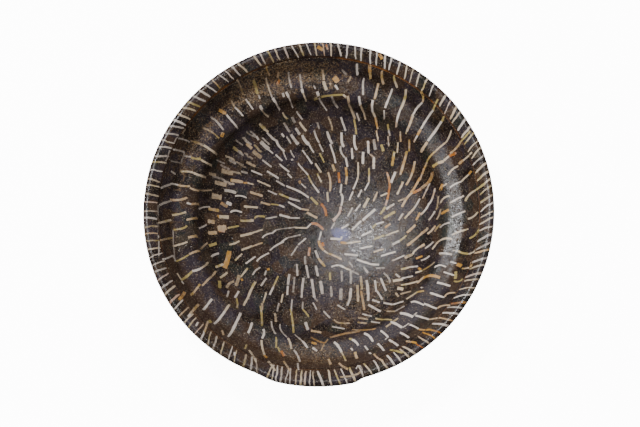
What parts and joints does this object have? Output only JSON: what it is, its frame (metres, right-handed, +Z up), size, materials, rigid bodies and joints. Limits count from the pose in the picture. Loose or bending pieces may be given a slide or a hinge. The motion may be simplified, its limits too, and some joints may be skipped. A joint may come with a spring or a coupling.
{
  "type": "mosaic glass bowl",
  "caption": "Shallow round footed bowl of opaque mosaic glass with a rounded rim band, an inner ledge and a deeper middle.",
  "frame": {"origin": "on the ground plane under the middle of the bowl, where the foot ring stands", "axes": "+Z up along the bowl's axis of turning; the lapped ends of the rim strip lie towards -Y"},
  "size_m": [0.1504, 0.1509, 0.0382],
  "materials": {
    "mosaic_glass": "opaque, polished and a little weathered: near-black purple-brown glass with radial cream, grey, olive-yellow and orange strands that swirl round the middle"
  },
  "bodies": {
    "root": {"bowl": "mosaic_glass"}
  },
  "joints": []
}
